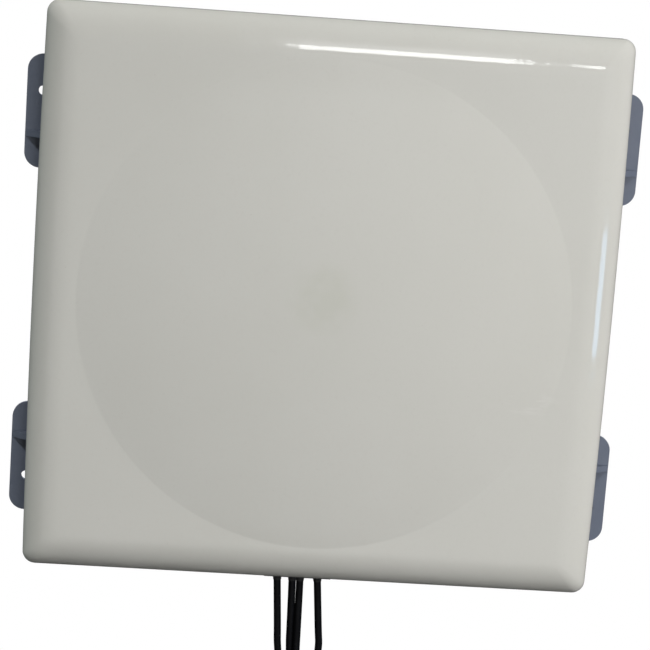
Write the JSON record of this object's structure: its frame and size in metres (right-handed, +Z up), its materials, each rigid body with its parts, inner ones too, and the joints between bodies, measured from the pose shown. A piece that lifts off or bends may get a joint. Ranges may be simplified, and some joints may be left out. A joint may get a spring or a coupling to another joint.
{
  "type": "flat panel antenna",
  "caption": "Square flat panel antenna with a glossy off-white radome, four dark wall-mounting ears and black coaxial leads that hang below in a tied coil with coupling plugs.",
  "frame": {"origin": "centre of the four wall bolts on the back plane", "axes": "+Z up, -Y out of the radome's front, +X to the right seen from the front"},
  "size_m": [0.3944, 0.0552, 0.629],
  "materials": {
    "radome_shell": "glossy off-white moulded shell",
    "tray_paint": "dark blue-grey powder coat",
    "black_rubber": "matt",
    "stainless_steel": "machined",
    "blank_label": "blank foil",
    "aluminium_sheet": "mill finish",
    "circuit_board": "solder mask",
    "brass_sheet": "rolled sheet",
    "copper_pin": "tinned copper",
    "white_nylon": "moulded",
    "coax_jacket": "satin extruded jacket",
    "tie_strap": "woven hook-and-loop",
    "shrink_sleeve": "shrunk sleeve",
    "plated_ferrule": "crimped",
    "nickel_plate": "bright nickel",
    "white_ptfe": "turned",
    "gold_contact": "gold plate",
    "red_silicone": "moulded"
  },
  "bodies": {
    "antenna": {"radome": "radome_shell", "rim_gasket": "black_rubber", "rear_tray": "tray_paint", "radome_screws": "stainless_steel", "rating_label": "blank_label", "reflector_plate": "aluminium_sheet", "reflector_screws": "stainless_steel", "feed_board_1": "circuit_board", "feed_board_2": "circuit_board", "feed_board_3": "circuit_board", "feed_board_4": "circuit_board", "feed_pins": "copper_pin", "driven_patch_1": "brass_sheet", "driven_patch_2": "brass_sheet", "driven_patch_3": "brass_sheet", "driven_patch_4": "brass_sheet", "parasitic_patch_1": "aluminium_sheet", "parasitic_patch_2": "aluminium_sheet", "parasitic_patch_3": "aluminium_sheet", "parasitic_patch_4": "aluminium_sheet", "patch_posts": "white_nylon", "patch_screws": "white_nylon", "cable_grommet": "black_rubber", "cable_clamp": "white_nylon", "clamp_screws": "stainless_steel", "inner_lead_1": "coax_jacket", "inner_lead_2": "coax_jacket", "inner_lead_3": "coax_jacket", "inner_lead_4": "coax_jacket", "lead_1": "coax_jacket", "lead_2": "coax_jacket", "lead_3": "coax_jacket", "lead_4": "coax_jacket", "lead_coil": "coax_jacket", "coil_tie": "tie_strap", "lead_tail_1": "coax_jacket", "lead_tail_2": "coax_jacket", "lead_tail_3": "coax_jacket", "lead_tail_4": "coax_jacket", "plug_boot_1": "shrink_sleeve", "plug_boot_2": "shrink_sleeve", "plug_boot_3": "shrink_sleeve", "plug_boot_4": "shrink_sleeve", "plug_ferrule_1": "plated_ferrule", "plug_ferrule_2": "plated_ferrule", "plug_ferrule_3": "plated_ferrule", "plug_ferrule_4": "plated_ferrule", "plug_body_1": "nickel_plate", "plug_body_2": "nickel_plate", "plug_body_3": "nickel_plate", "plug_body_4": "nickel_plate", "plug_insulators": "white_ptfe", "plug_contacts": "gold_contact", "plug_gaskets": "red_silicone"},
    "nut_1": {"coupling_nut_1": "nickel_plate"},
    "nut_2": {"coupling_nut_2": "nickel_plate"},
    "nut_3": {"coupling_nut_3": "nickel_plate"},
    "nut_4": {"coupling_nut_4": "nickel_plate"}
  },
  "joints": [
    {"name": "nut_1_spin", "type": "hinge", "parent": "antenna", "child": "nut_1", "pos_m": [0.0637, -0.048, -0.4377], "axis": [0, 0, 1], "continuous": true},
    {"name": "nut_2_spin", "type": "hinge", "parent": "antenna", "child": "nut_2", "pos_m": [0.0637, -0.0314, -0.4377], "axis": [0, 0, 1], "continuous": true},
    {"name": "nut_3_spin", "type": "hinge", "parent": "antenna", "child": "nut_3", "pos_m": [0.0803, -0.048, -0.4377], "axis": [0, 0, 1], "continuous": true},
    {"name": "nut_4_spin", "type": "hinge", "parent": "antenna", "child": "nut_4", "pos_m": [0.0803, -0.0314, -0.4377], "axis": [0, 0, 1], "continuous": true}
  ]
}
